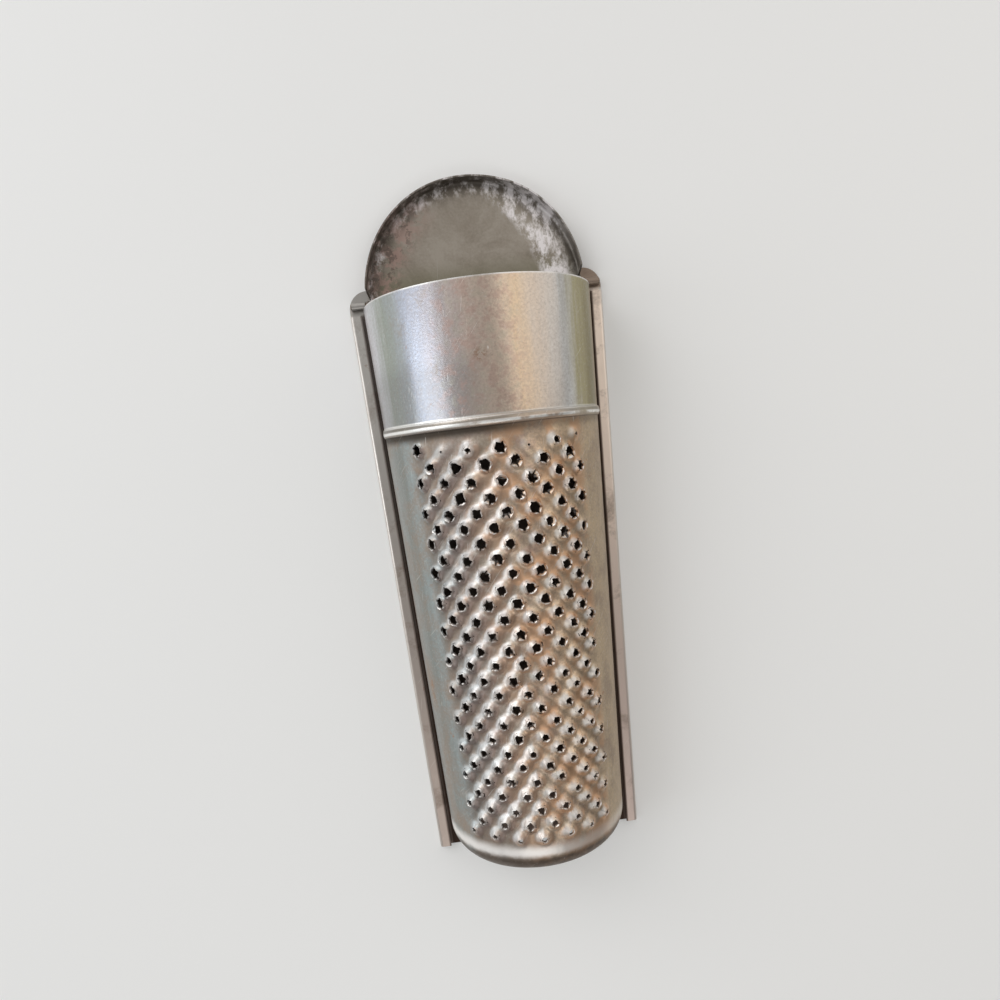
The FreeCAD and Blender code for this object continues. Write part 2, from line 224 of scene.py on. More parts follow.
def relief(turn, down):
    """Height of the sheet above its plain taper: a bead with a round section that fades to
    a quarter at both sides, ridges that run down and outwards from the crown through the
    teeth, and round each tooth a dome that is the square of a parabola, summed over the
    three nearest columns."""
    turn, down = np.broadcast_arrays(turn, down)
    from_bead = (down - BEAD_DISTANCE) / (BEAD_WIDTH / 2)
    bead = BEAD_HEIGHT * np.sqrt(np.clip(1 - from_bead ** 2, 0, 1))
    height = bead * (1 - BEAD_FADE * smooth(np.abs(turn), BEAD_FADES_FROM, BEAD_FADES_TO))
    across = turn / COLUMN_ANGLE
    row = (down - FIRST_ROW) / ROW_PITCH
    from_side = SIDE_COLUMNS + RIDGE_MARGIN - np.abs(across)
    from_start = row + RIDGE_MARGIN
    from_end = ROWS - RIDGE_MARGIN - row
    field = smooth(from_side, 0, RIDGE_FADE_ACROSS)
    field = field * smooth(from_start, 0, RIDGE_FADE_START) * smooth(from_end, 0, RIDGE_FADE_END)
    wave = np.cos(2 * math.pi * (row - sag(across) - np.abs(across) / 2))
    height = height + RIDGE_HEIGHT * field * (0.5 + 0.5 * wave)
    nearest = np.round(across).astype(int)
    for step in (-1, 0, 1):
        column = nearest + step
        lower = odd(column) / 2 + sag(column)
        tooth_row = np.round(row - lower).astype(int)
        last = ROWS - 1 - odd(column)
        there = (np.abs(column) <= SIDE_COLUMNS) & (tooth_row >= 0) & (tooth_row <= last)
        tooth = (np.clip(column + SIDE_COLUMNS, 0, 2 * SIDE_COLUMNS),
                 np.clip(tooth_row, 0, ROWS - 1))
        along = (across - column) * COLUMN_ANGLE * wall_radius(down) - shift_across[tooth]
        below = (row - lower - tooth_row) * ROW_PITCH - shift_down[tooth]
        bell = np.clip(1 - (along ** 2 + below ** 2) / DOME_REACH ** 2, 0, 1) ** 2
        height = height + np.where(there, DOME_HEIGHT * strength[tooth] * bell, 0)
    return height


SHADE_SIDE_STEP = 0.2 * MM
SHADE_SIDE_RIGHT = 0.9
SHADE_SIDE_TOEWARD = 0.45


def shade_side_slope(turn, down):
    """How steeply the relief falls away to the right and towards the toe, from differences
    over a short step.  It places painted shade on flanks turned away from the light and a
    painted highlight on those facing it."""
    aside = SHADE_SIDE_STEP / MOUTH_RADIUS
    across = relief(turn - aside, down) - relief(turn + aside, down)
    along = relief(turn, down - SHADE_SIDE_STEP) - relief(turn, down + SHADE_SIDE_STEP)
    return (SHADE_SIDE_RIGHT * across + SHADE_SIDE_TOEWARD * along) / (2 * SHADE_SIDE_STEP)


# Steps of the mesh: quads in a tooth's cell, and rows and columns on the plain parts.
CELL_ACROSS = 4
CELL_DOWN = 8
FLANK_STEPS = 12
LEG_STEPS = 3
BEAD_STEPS = 10
BEND_STEPS = 10
MOUTH_STEPS = 21
TOE_STEPS = 3
EDGE_STEP = 0.3 * MM
BRIGHT_EDGE = 0.1 * MM
EDGE_FADE = 0.5 * MM


def plain_sheet():
    """The whole wall as one grid of rows from the mouth to the turned-in toe and columns
    round the section, without the cells that hold a tooth.  Gives points and faces, and at
    each point the relief, the painted highlight along the mouth's edge and the shade-side
    slope."""
    fan = np.linspace(-half_turn, half_turn, (2 * SIDE_COLUMNS + 1) * CELL_ACROSS + 1)
    flank = steps(half_turn, math.pi / 2, FLANK_STEPS)
    leg = math.pi / 2 + steps(0, 1, LEG_STEPS)
    side = np.concatenate([flank, leg])
    turn = np.concatenate([-side[::-1], fan, side])
    bead_from = BEAD_DISTANCE - BEAD_WIDTH / 2
    bead_to = BEAD_DISTANCE + BEAD_WIDTH / 2
    field_from = FIRST_ROW - ROW_PITCH / 2
    field_to = FIRST_ROW + (ROWS - 0.5) * ROW_PITCH
    straight = np.concatenate([
        [-mouth_rise, -mouth_rise + EDGE_STEP],
        np.linspace(-mouth_rise + 2 * EDGE_STEP, bead_from, MOUTH_STEPS + 1)[:-1],
        BEAD_DISTANCE - BEAD_WIDTH / 2 * np.cos(np.linspace(0, math.pi, BEAD_STEPS + 1)),
        [(bead_to + field_from) / 2],
        np.linspace(field_from, field_to, ROWS * CELL_DOWN + 1),
        steps(field_to, shoulder_distance, TOE_STEPS),
    ])
    bend = steps(0, math.pi / 2, BEND_STEPS)
    down = np.concatenate([straight, shoulder_distance + SHOULDER_RADIUS * np.sin(bend)])
    turned_in = wall_radius(shoulder_distance) - SHOULDER_RADIUS * (1 - np.cos(bend))
    radius = np.concatenate([wall_radius(straight), turned_in])
    on_wall = (down < shoulder_distance)[:, None]
    out = relief(turn[None, :], down[:, None]) * on_wall
    shade_side = shade_side_slope(turn[None, :], down[:, None]) * on_wall
    # A painted highlight along the mouth's edge, carried in the rim values.
    edge = smooth(-down[:, None] + 0 * turn, mouth_rise - EDGE_FADE, mouth_rise - BRIGHT_EDGE)
    points = sheet_point(turn[None, :], radius[:, None] + out, -down[:, None])
    middle_turn = (turn[1:] + turn[:-1]) / 2
    middle_row = (((down[1:] + down[:-1]) / 2 - FIRST_ROW) / ROW_PITCH)[:, None]
    lower = odd(np.round(middle_turn / COLUMN_ANGLE).astype(int)) / 2
    in_rows = (middle_row > lower - 0.5) & (middle_row < ROWS - 0.5 - lower)
    toothed = in_rows & (np.abs(middle_turn) < half_turn)
    faces = grid_faces(len(down), len(turn))[~toothed]
    return points.reshape(-1, 3), faces.reshape(-1, 4), out.ravel(), edge.ravel(), shade_side.ravel()


# The rings of a tooth, from its cell inwards: the share of the way from the cell to the
# rim, the share of the rim's radius, the depth below the rim, and the shade, which is 1 on
# torn metal with a painted highlight and negative in the throat's painted dark shade.
RINGS = (
    (0, 1, 0, 0), (0.32, 1, 0, 0), (0.6, 1, 0, 0), (0.83, 1, 0, 0), (1, 1, 0, 0.7),
    (1, 0.88, 0.1 * MM, 1), (1, 0.79, 0.6 * MM, -1),
)
FIRST_ANGLE = -2.4
TOOTH_LIMIT = 1.3 * MM
LIP_HEIGHT = 0.25 * MM
LIP_BASE = 0.65
LIP_ON_PETAL = 0.35
LIP_RAGGED = 0.15
LIP_LEAN = 0.25
LEAN_SHIFT = 0.4
RIM_BASE = 0.98
RIM_RAGGED = 0.05
RIM_TATTER = 0.06
CRACK_WIDTH = 0.075
CRACK_SHARE = 0.85
CRACK_REACH = 0.16
CRACK_DIP = 0.4
CRACK_SHADE = -0.8
GAP_DEPTH = 0.7
GAP_CURVE = 1.5
FOLDED_SHARE = 0.4
FLAP_EDGE = 0.4
FLAP_RAGGED = 0.12
FLAP_REACH = 0.42
FLAP_DROP = 0.75 * MM
FLAP_SHADE = -1.8
BRIGHT_SIDE = 1.7
LEAST_GLEAM = 0.45


def tooth_cells():
    """A patch for every tooth.  Its outer ring is the rectangle of its cell, its fifth ring
    the torn rim, and the rings between are blends of the two.  The rim is a ragged circle
    that is cracked here and there between its petals.  It stands highest on the petals and
    on the side away from its lean.  Two smaller rings slope in from it and then down the
    throat.  They open out to the rim between petals, and on some teeth a petal is folded
    into the throat.  Gives points and faces, and at each point the relief, the shade, which
    is a painted highlight on the rim and painted dark shade in the throat and cracks, and
    the shade-side slope."""
    there = row_of < ROWS - odd(column_of)
    column, row, lift, own_across, own_down, radius, star, phase, tilt = (
        value[there][:, None] for value in (
            column_of, row_of, strength, shift_across, shift_down, hole_radius,
            petals, petal_phase, lean))
    level = np.linspace(-1, 1, CELL_ACROSS + 1)[:-1]
    upright = np.linspace(-1, 1, CELL_DOWN + 1)[:-1]
    ends, sides = np.ones(CELL_ACROSS), np.ones(CELL_DOWN)
    edge_across = np.concatenate([level, sides, -level, -sides])[None, :]
    edge_down = np.concatenate([-ends, upright, ends, -upright])[None, :]
    count = edge_across.size
    centre_down = FIRST_ROW + (row + odd(column) / 2) * ROW_PITCH
    arc = COLUMN_ANGLE * wall_radius(centre_down)
    angle = 2 * math.pi * np.arange(count)[None, :] / count + FIRST_ANGLE
    petal = np.abs(np.cos(star / 2 * angle + phase))
    ragged = rng.normal(0, 1, petal.shape)
    crack = (petal < CRACK_WIDTH * star) & (rng.random(petal.shape) < CRACK_SHARE)
    tatter = rng.normal(0, RIM_TATTER, petal.shape)
    folded = rng.random(column.shape) < FOLDED_SHARE
    fold_angle = rng.uniform(0, 2 * math.pi, column.shape)
    flap = folded & (np.cos(angle - fold_angle) > FLAP_EDGE + FLAP_RAGGED * ragged)
    gap = np.maximum(crack, GAP_DEPTH * (1 - petal) ** GAP_CURVE)
    rim_radius = radius * (RIM_BASE + RIM_RAGGED * ragged + CRACK_REACH * crack)
    lip_shape = LIP_BASE + LIP_ON_PETAL * petal - CRACK_DIP * crack - LIP_LEAN * np.cos(angle - tilt)
    # A painted highlight on the torn rim, brightest towards BRIGHT_SIDE as if lit from there.
    glint = np.clip(0.5 + 0.5 * ragged + 0.4 * np.cos(angle - BRIGHT_SIDE), 0, 1)
    gleam = LEAST_GLEAM + (1 - LEAST_GLEAM) * glint
    middle_down = own_down + sag(column) * ROW_PITCH
    points, outs, rims, shade_sides = [], [], [], []
    for part, inward, drop, shade in RINGS:
        opened = gap * (drop > 0)
        if shade < 0:
            opened = opened * ~flap
            inward = np.where(flap, FLAP_REACH, inward)
            drop = np.where(flap, FLAP_DROP, drop)
            shade = np.where(flap, FLAP_SHADE, shade)
        reach = rim_radius * (inward * (1 + tatter * (inward < 1)) * (1 - opened) + opened)
        aside = (1 - inward) * LEAN_SHIFT * radius * (1 - opened)
        rim_across = own_across + reach * np.cos(angle) + aside * np.cos(tilt)
        rim_down = middle_down + reach * np.sin(angle) + aside * np.sin(tilt)
        across = (1 - part) * edge_across * arc / 2 + part * rim_across
        below = (1 - part) * edge_down * ROW_PITCH / 2 + part * rim_down
        turn = column * COLUMN_ANGLE + across / arc * COLUMN_ANGLE
        down = centre_down + below
        near = part ** 4
        lip = LIP_HEIGHT * lift * near * (lip_shape + LIP_RAGGED * ragged * near)
        if np.all(drop == 0):
            rim_height = out = np.minimum(relief(turn, down) + lip, TOOTH_LIMIT)
        else:
            out = rim_height - drop
        dark = np.minimum(shade, CRACK_SHADE * (drop > 0))
        torn_and_highlit = np.where(shade > 0, shade * gleam, shade)
        points.append(sheet_point(turn, wall_radius(down) + out, -down))
        outs.append(out)
        rims.append(np.where(crack & (part == 1), dark, torn_and_highlit))
        shade_sides.append(shade_side_slope(turn, down))
    points, outs, rims, shade_sides = (np.stack(value, 1) for value in (points, outs, rims, shade_sides))
    first_point = np.arange(len(column)) * len(RINGS) * count
    faces = first_point[:, None, None, None] + grid_faces(len(RINGS), count, closed=True)
    return points.reshape(-1, 3), faces.reshape(-1, 4), outs.ravel(), rims.ravel(), shade_sides.ravel()


wall_points, wall_faces, *wall_values = plain_sheet()
tooth_points, tooth_faces, *tooth_values = tooth_cells()
front_out, front_rim, front_shade_side = (
    np.concatenate(both) for both in zip(wall_values, tooth_values))
front = sheet_object(
    "front_sheet", np.concatenate([wall_points, tooth_points]),
    np.concatenate([wall_faces, tooth_faces + len(wall_points)])[:, ::-1],
    {"relief": front_out / MM, "rim": front_rim, "shade_side": front_shade_side})


def new_material(name):
    """An empty node material with its output and Principled shader."""
    material = bpy.data.materials.new(name)
    material.use_nodes = True
    tree = material.node_tree
    tree.nodes.clear()
    output = tree.nodes.new("ShaderNodeOutputMaterial")
    shader = tree.nodes.new("ShaderNodeBsdfPrincipled")
    tree.links.new(shader.outputs["BSDF"], output.inputs["Surface"])
    return material, tree, shader


def feed(tree, socket, value):
    """Links a socket to another one, or sets its value.  A colour is three numbers."""
    if isinstance(value, bpy.types.NodeSocket):
        tree.links.new(value, socket)
    elif socket.type == "RGBA":
        socket.default_value = (*value, 1)
    else:
        socket.default_value = value


def add(tree, kind, inputs, **settings):
    """A node with its settings, and its inputs, by name or by number, fed."""
    node = tree.nodes.new("ShaderNode" + kind)
    for key, value in settings.items():
        setattr(node, key, value)
    for key, value in inputs.items():
        feed(tree, node.inputs[key], value)
    return node


def maths(tree, operation, *values):
    """The result of a Math node."""
    return add(tree, "Math", dict(enumerate(values)), operation=operation).outputs[0]


def product(tree, first, *others):
    """A value times others, such as a mask times more masks."""
    for other in others:
        first = maths(tree, "MULTIPLY", first, other)
    return first


def plus(tree, base, value, share):
    """A base and a share of a value added together."""
    return maths(tree, "MULTIPLY_ADD", value, share, base)


def excess(tree, value, level, gain):
    """How far a value is above a level, times a gain."""
    return product(tree, maths(tree, "SUBTRACT", value, level), gain)


def clamped(tree, value):
    """A value kept between 0 and 1."""
    return add(tree, "Clamp", {"Value": value}).outputs[0]


def ranged(tree, value, low, high, to_low=0.0, to_high=1.0):
    """A value mapped smoothly and clamped from one range to another."""
    limits = {"From Min": low, "From Max": high, "To Min": to_low, "To Max": to_high}
    node = add(tree, "MapRange", {"Value": value, **limits}, interpolation_type="SMOOTHSTEP")
    return node.outputs["Result"]


def rise_and_fall(tree, value, rise, fall, top=1.0):
    """A mask that rises to the top over one range of a value and falls over the next."""
    return product(tree, ranged(tree, value, *rise), ranged(tree, value, *fall, top, 0))


def mixed(tree, factor, first, second):
    """A colour mixed from two."""
    return add(tree, "Mix", {0: factor, 6: first, 7: second}, data_type="RGBA").outputs[2]


def noise(tree, where, scale, detail=4.0, roughness=0.55, distortion=0.0):
    """Fractal noise from 0 to 1 at so many features per millimetre."""
    return add(tree, "TexNoise", {
        "Vector": where, "Scale": scale, "Detail": detail, "Roughness": roughness,
        "Distortion": distortion}).outputs["Fac"]


def millimetres(tree, stretch=(1, 1, 1)):
    """The piece's own coordinates in millimetres, stretched along each axis."""
    where = add(tree, "TexCoord", {}).outputs["Object"]
    scale = tuple(value / MM for value in stretch)
    return add(tree, "Mapping", {"Vector": where, "Scale": scale}).outputs["Vector"]


def axes(tree, where):
    """The three coordinates of a place."""
    return add(tree, "SeparateXYZ", {"Vector": where}).outputs


def stored(tree, name):
    """A value that the mesh holds at its points."""
    return add(tree, "Attribute", {}, attribute_name=name).outputs["Fac"]


def spot(tree, where, centre, full, end):
    """A round mask: 1 within the first distance of its centre and 0 beyond the second."""
    away = add(tree, "VectorMath", {0: where, 1: centre}, operation="DISTANCE")
    return ranged(tree, away.outputs["Value"], full, end, 1, 0)


def colour_stops(tree, value, stops):
    """A colour ramp through stops of (position, colour)."""
    ramp = add(tree, "ValToRGB", {"Fac": value})
    while len(ramp.color_ramp.elements) < len(stops):
        ramp.color_ramp.elements.new(0.5)
    for element, (position, colour) in zip(ramp.color_ramp.elements, stops):
        element.position = position
        element.color = (*colour, 1)
    return ramp.outputs["Color"]


def finished(tree, shader, colour, roughness, metallic, height, depth=MM):
    """Feeds the shader its colour, roughness and metal, and a bump of the height times a
    depth in metres."""
    raised = add(tree, "Bump", {"Height": height, "Distance": depth, "Strength": 1.0})
    for name, value in (("Base Color", colour), ("Roughness", roughness),
                        ("Metallic", metallic), ("Normal", raised.outputs["Normal"])):
        tree.links.new(value, shader.inputs[name])


def new_group(name, inputs, outputs):
    """A shader node group with named sockets of given kinds, and its two end nodes."""
    group = bpy.data.node_groups.new(name, "ShaderNodeTree")
    for in_out, sockets in (("INPUT", inputs), ("OUTPUT", outputs)):
        for label, kind in sockets.items():
            group.interface.new_socket(name=label, in_out=in_out, socket_type="NodeSocket" + kind)
    return group, group.nodes.new("NodeGroupInput"), group.nodes.new("NodeGroupOutput")


def place_group(tree, group, **inputs):
    """A group placed in a material with its own values, and its outputs."""
    named = {key.replace("_", " "): value for key, value in inputs.items()}
    return add(tree, "Group", named, node_tree=group).outputs


CLOUD_SCALE = 0.12


def tarnish_group():
    """Old tinplate: cloudy tarnish over the tin, finer mottling, and rust in spots."""
    group, inside, outside = new_group(
        "tin_tarnish",
        {"Vector": "Vector", "Tin": "Color", "Tarnish": "Color", "Rust": "Color",
         "Tarnish Amount": "Float", "Rust Amount": "Float", "Cloud Scale": "Float"},
        {"Color": "Color", "Dullness": "Float", "Grain": "Float"})
    given = inside.outputs
    cloud = noise(group, given["Vector"], given["Cloud Scale"], 5, 0.6, 0.6)
    fine = noise(group, given["Vector"], 1.7, 3, 0.6)
    spots = noise(group, given["Vector"], 0.23, 6, 0.68, 0.3)
    cloud_level = maths(group, "SUBTRACT", 0.75, given["Tarnish Amount"])
    clouds = excess(group, cloud, cloud_level, 3.2)
    covered = clamped(group, maths(group, "ADD", clouds, excess(group, fine, 0.5, 0.7)))
    rust_level = plus(group, 0.8, given["Rust Amount"], -0.4)
    rusty = clamped(group, excess(group, spots, rust_level, 9))
    colour = mixed(group, covered, given["Tin"], given["Tarnish"])
    feed(group, outside.inputs["Color"], mixed(group, rusty, colour, given["Rust"]))
    feed(group, outside.inputs["Dullness"], maths(group, "MAXIMUM", covered, rusty))
    feed(group, outside.inputs["Grain"], fine)
    return group


# Two sets of scratches: the angle they are turned by, and the stretch of their noise.
STREAKS = ((0.12, (2.6, 0.07, 2.6)), (-0.9, (0.09, 3.1, 0.09)))


def scratch_group():
    """Fine handling scratches: long thin streaks of noise in two directions."""
    group, inside, outside = new_group(
        "scratches", {"Vector": "Vector", "Density": "Float"}, {"Mask": "Float"})
    level = plus(group, 0.78, inside.outputs["Density"], -0.2)
    masks = []
    for angle, stretch in STREAKS:
        turned = add(group, "VectorRotate", {"Vector": inside.outputs["Vector"], "Angle": angle},
                     rotation_type="Z_AXIS").outputs[0]
        long = add(group, "VectorMath", {0: turned, 1: stretch}, operation="MULTIPLY").outputs[0]
        masks.append(excess(group, noise(group, long, 1.0, 2, 0.5), level, 12))
    feed(group, outside.inputs["Mask"], clamped(group, maths(group, "MAXIMUM", *masks)))
    return group


tin_tarnish = tarnish_group()
scratches = scratch_group()

# Colours from the left side to the right, over the compartment and the teeth: partly the
# tin's own tone and partly painted reflections, with a painted highlight band on the left.
PLAIN_BANDS = (
    (0.02, (0.74, 0.73, 0.78)), (0.05, (0.62, 0.64, 0.65)), (0.09, (0.38, 0.42, 0.37)),
    (0.2, (0.42, 0.455, 0.54)), (0.29, (0.41, 0.4, 0.44)), (0.35, (0.42, 0.38, 0.38)),
    (0.43, (0.57, 0.465, 0.4)), (0.57, (0.74, 0.6, 0.48)), (0.63, (0.78, 0.6, 0.42)),
    (0.72, (0.7, 0.61, 0.53)), (0.82, (0.69, 0.69, 0.68)), (0.89, (0.4, 0.36, 0.21)),
    (0.95, (0.24, 0.2, 0.07)))
WORN_BANDS = (
    (0.02, (0.4, 0.42, 0.41)), (0.07, (0.28, 0.305, 0.29)), (0.13, (0.37, 0.43, 0.44)),
    (0.3, (0.66, 0.63, 0.61)), (0.5, (0.9, 0.73, 0.57)), (0.7, (0.94, 0.71, 0.49)),
    (0.9, (0.54, 0.42, 0.28)))
DIMMED_HIGHLIGHT = (0.2, 0.205, 0.21)


def banded_tin_and_reflections(tree, y, side, plain):
    """The tin's tone with painted reflections in lengthwise bands that wander a little, one
    set on the plain part over the compartment, where the painted highlight on the left dims
    towards the bead, and one below."""
    wander = noise(tree, millimetres(tree, (0.5, 0.05, 0.5)), 1.0, 3)
    band = maths(tree, "ADD", plus(tree, 0.5, side, 0.5), excess(tree, wander, 0.5, 0.1))
    # Painted shade dims the painted highlight band on the left towards the bead.
    on_left = ranged(tree, side, -0.2, 0.0, 1, 0)
    dimmed_highlight = product(tree, ranged(tree, y, -19.0, -12.0, 0.42, 0), on_left)
    bands = mixed(tree, dimmed_highlight, colour_stops(tree, band, PLAIN_BANDS), DIMMED_HIGHLIGHT)
    return mixed(tree, plain, colour_stops(tree, band, WORN_BANDS), bands)


# Places in millimetres of two marks over the compartment.
GRAZE = (-1.7, -14.9, 28.0)
NICK = (0.1, -13.8, 28.0)
NICK_STRETCH = (1, 0.5, 1)
PINKISH_TIN = (0.5, 0.33, 0.28)
GREENISH_TIN = (0.46, 0.45, 0.35)
GRAZED_TIN = (0.32, 0.18, 0.11)
NICKED_TIN = (0.95, 0.9, 0.84)
DARK_SPECKS = (0.22, 0.18, 0.16)
BRIGHT_SPECKS = (0.86, 0.85, 0.86)


def handling(tree, colour, where, x, mottle):
    """Pinkish and greenish mottling along the crown, a small rusted graze and one bright
    nick beside it over the compartment, and a fine sparkle of dark and bright specks."""
    from_crown = maths(tree, "ABSOLUTE", maths(tree, "ADD", x, 1.5))
    crown = ranged(tree, from_crown, 5.0, 12.0, 1, 0)
    pinkish = product(tree, ranged(tree, mottle, 0.48, 0.62), crown, 0.45)
    colour = mixed(tree, pinkish, colour, PINKISH_TIN)
    greenish = product(tree, ranged(tree, mottle, 0.36, 0.48, 1, 0), crown, 0.25)
    colour = mixed(tree, greenish, colour, GREENISH_TIN)
    patches = ranged(tree, noise(tree, where, 1.3, 4, 0.7), 0.44, 0.6)
    graze = product(tree, spot(tree, where, GRAZE, 0.6, 2.1), patches, 0.62)
    colour = mixed(tree, graze, colour, GRAZED_TIN)
    nick_centre = tuple(np.multiply(NICK, NICK_STRETCH))
    nick = spot(tree, millimetres(tree, NICK_STRETCH), nick_centre, 0.08, 0.26)
    colour = mixed(tree, nick, colour, NICKED_TIN)
    speck = noise(tree, where, 2.2, 2)
    colour = mixed(tree, ranged(tree, speck, 0.3, 0.44, 0.2, 0), colour, DARK_SPECKS)
    return mixed(tree, ranged(tree, speck, 0.58, 0.72, 0, 0.15), colour, BRIGHT_SPECKS)


RUST_WASH = (0.72, 0.42, 0.24)
LIT_FLANK_HIGHLIGHT = (0.78, 0.82, 0.84)
LEFT_FLANK_SHADE = (0.26, 0.19, 0.17)
RIGHT_FLANK_SHADE = (0.64, 0.43, 0.29)
VALLEY_DIRT_AND_SHADE = (0.18, 0.135, 0.1)
DOME_TOP = (0.72, 0.69, 0.66)


def tooth_wear_and_painted_light(tree, colour, where, side, toothed):
    """Between the teeth: rust in patches, a painted highlight on the flanks facing the light,
    painted shade on the flanks turned away from it, valleys darkened by dirt and painted
    shade, and pale tops."""
    height = stored(tree, "relief")
    shade_side = stored(tree, "shade_side")
    patches = ranged(tree, noise(tree, where, 0.16, 5, 0.6), 0.45, 0.58)
    rusted = product(tree, patches, toothed, ranged(tree, side, -0.45, 0.1, 0.2, 0.72))
    colour = mixed(tree, rusted, colour, RUST_WASH)
    # A painted highlight on the flanks that face the light.
    highlit_and_rubbed = product(tree, ranged(tree, shade_side, -0.5, -0.08, 0.55, 0.0), toothed)
    colour = mixed(tree, highlit_and_rubbed, colour, LIT_FLANK_HIGHLIGHT)
    # Painted shade on the flanks turned away from the light, darkest on the left.
    shaded_flank = product(tree, ranged(tree, shade_side, 0.06, 0.45, 0.0, 0.72), toothed)
    flank_shade = mixed(tree, ranged(tree, side, -0.5, 0.2), LEFT_FLANK_SHADE, RIGHT_FLANK_SHADE)
    colour = mixed(tree, shaded_flank, colour, flank_shade)
    # Valleys darkened by dirt and by painted shade, more on the left.
    valley = product(tree, ranged(tree, height, 0.02, 0.42, 1, 0), toothed,
                     ranged(tree, side, -0.4, 0.3, 0.6, 0.34))
    colour = mixed(tree, valley, colour, VALLEY_DIRT_AND_SHADE)
    top = product(tree, ranged(tree, height, 0.7, 1.1, 0, 0.4), toothed)
    return mixed(tree, top, colour, DOME_TOP)


BURNISHED_AND_HIGHLIT_TIN = (0.96, 0.93, 0.9)
TURNED_IN_DARK_REFLECTION = (0.13, 0.1, 0.078)


def toe_wear_and_painted_light(tree, colour, y, side, mottle):
    """At the toe: the shoulder polished bright, with a painted highlight, where it starts to
    bend, in a slightly uneven line, and a painted dark reflection where it is turned in."""
    past_bend = maths(tree, "ADD", y, shoulder_distance / MM)
    past_bend = maths(tree, "ADD", past_bend, excess(tree, mottle, 0.5, 0.9))
    # Polished tin with a painted highlight where the shoulder starts to bend.
    burnished_and_highlit = product(tree, rise_and_fall(tree, past_bend, (-1.5, 0.1), (0.3, 2.9)),
                        ranged(tree, side, -0.1, 0.6, 0.95, 0.4))
    colour = mixed(tree, burnished_and_highlit, colour, BURNISHED_AND_HIGHLIT_TIN)
    # A painted dark reflection where the toe is turned in.
    turned_in = product(tree, ranged(tree, past_bend, -2.1, -0.3, 0.96, 0),
                        ranged(tree, mottle, 0.4, 0.62, 1.0, 0.8))
    return mixed(tree, turned_in, colour, TURNED_IN_DARK_REFLECTION)


BEAD_TIN = (0.42, 0.38, 0.34)
CREST_HIGHLIGHT = (0.95, 0.94, 0.91)
FOOT_HIGHLIGHT = (0.94, 0.93, 0.9)
BEAD_FLANK_SHADE = (0.2, 0.18, 0.15)
BEAD_SHADOW = (0.03, 0.023, 0.016)


def bead_wear_and_painted_light(tree, colour, where, from_bead, side, under):
    """Across the bead: grey on its whole width, worn bright with a painted highlight along its
    crest, a painted highlight along its foot on the mouth's side, painted shade on the flank
    between them, and a black painted shadow at its foot on the toe's side."""
    bead = rise_and_fall(tree, from_bead, (-1.4, -0.9), (0.9, 1.3), 0.5)
    colour = mixed(tree, bead, colour, BEAD_TIN)
    patchy = ranged(tree, noise(tree, where, 0.3, 4), 0.35, 0.6)
    unbroken = maths(tree, "MAXIMUM", patchy, ranged(tree, side, -0.5, 0.0, 1, 0))
    # The crest is worn bright with a painted highlight, the foot gets a painted highlight and the
    # flank painted shade.
    crest = product(tree, rise_and_fall(tree, from_bead, (-0.7, -0.4), (-0.1, 0.2)), unbroken)
    colour = mixed(tree, crest, colour, CREST_HIGHLIGHT)
    foot = product(tree, rise_and_fall(tree, from_bead, (0.6, 0.9), (1.2, 1.5)),
                   ranged(tree, side, -0.4, 0.3, 0.9, 0.4))
    colour = mixed(tree, foot, colour, FOOT_HIGHLIGHT)
    flank = product(tree, rise_and_fall(tree, from_bead, (0.0, 0.3), (0.5, 0.8)),
                    ranged(tree, side, -0.2, 0.4, 0.7, 0.35))
    colour = mixed(tree, flank, colour, BEAD_FLANK_SHADE)
    return mixed(tree, under, colour, BEAD_SHADOW)


TARNISH = (0.34, 0.26, 0.2)
RUST = (0.42, 0.2, 0.09)
BROWN_GRAIN = (0.34, 0.29, 0.25)
TORN_TIN_AND_HIGHLIGHT = (0.82, 0.8, 0.78)
THROAT_SHADE = (0.035, 0.025, 0.019)
THROAT_GLINT = (0.17, 0.15, 0.14)
SCRATCHED_TIN = (0.75, 0.73, 0.7)


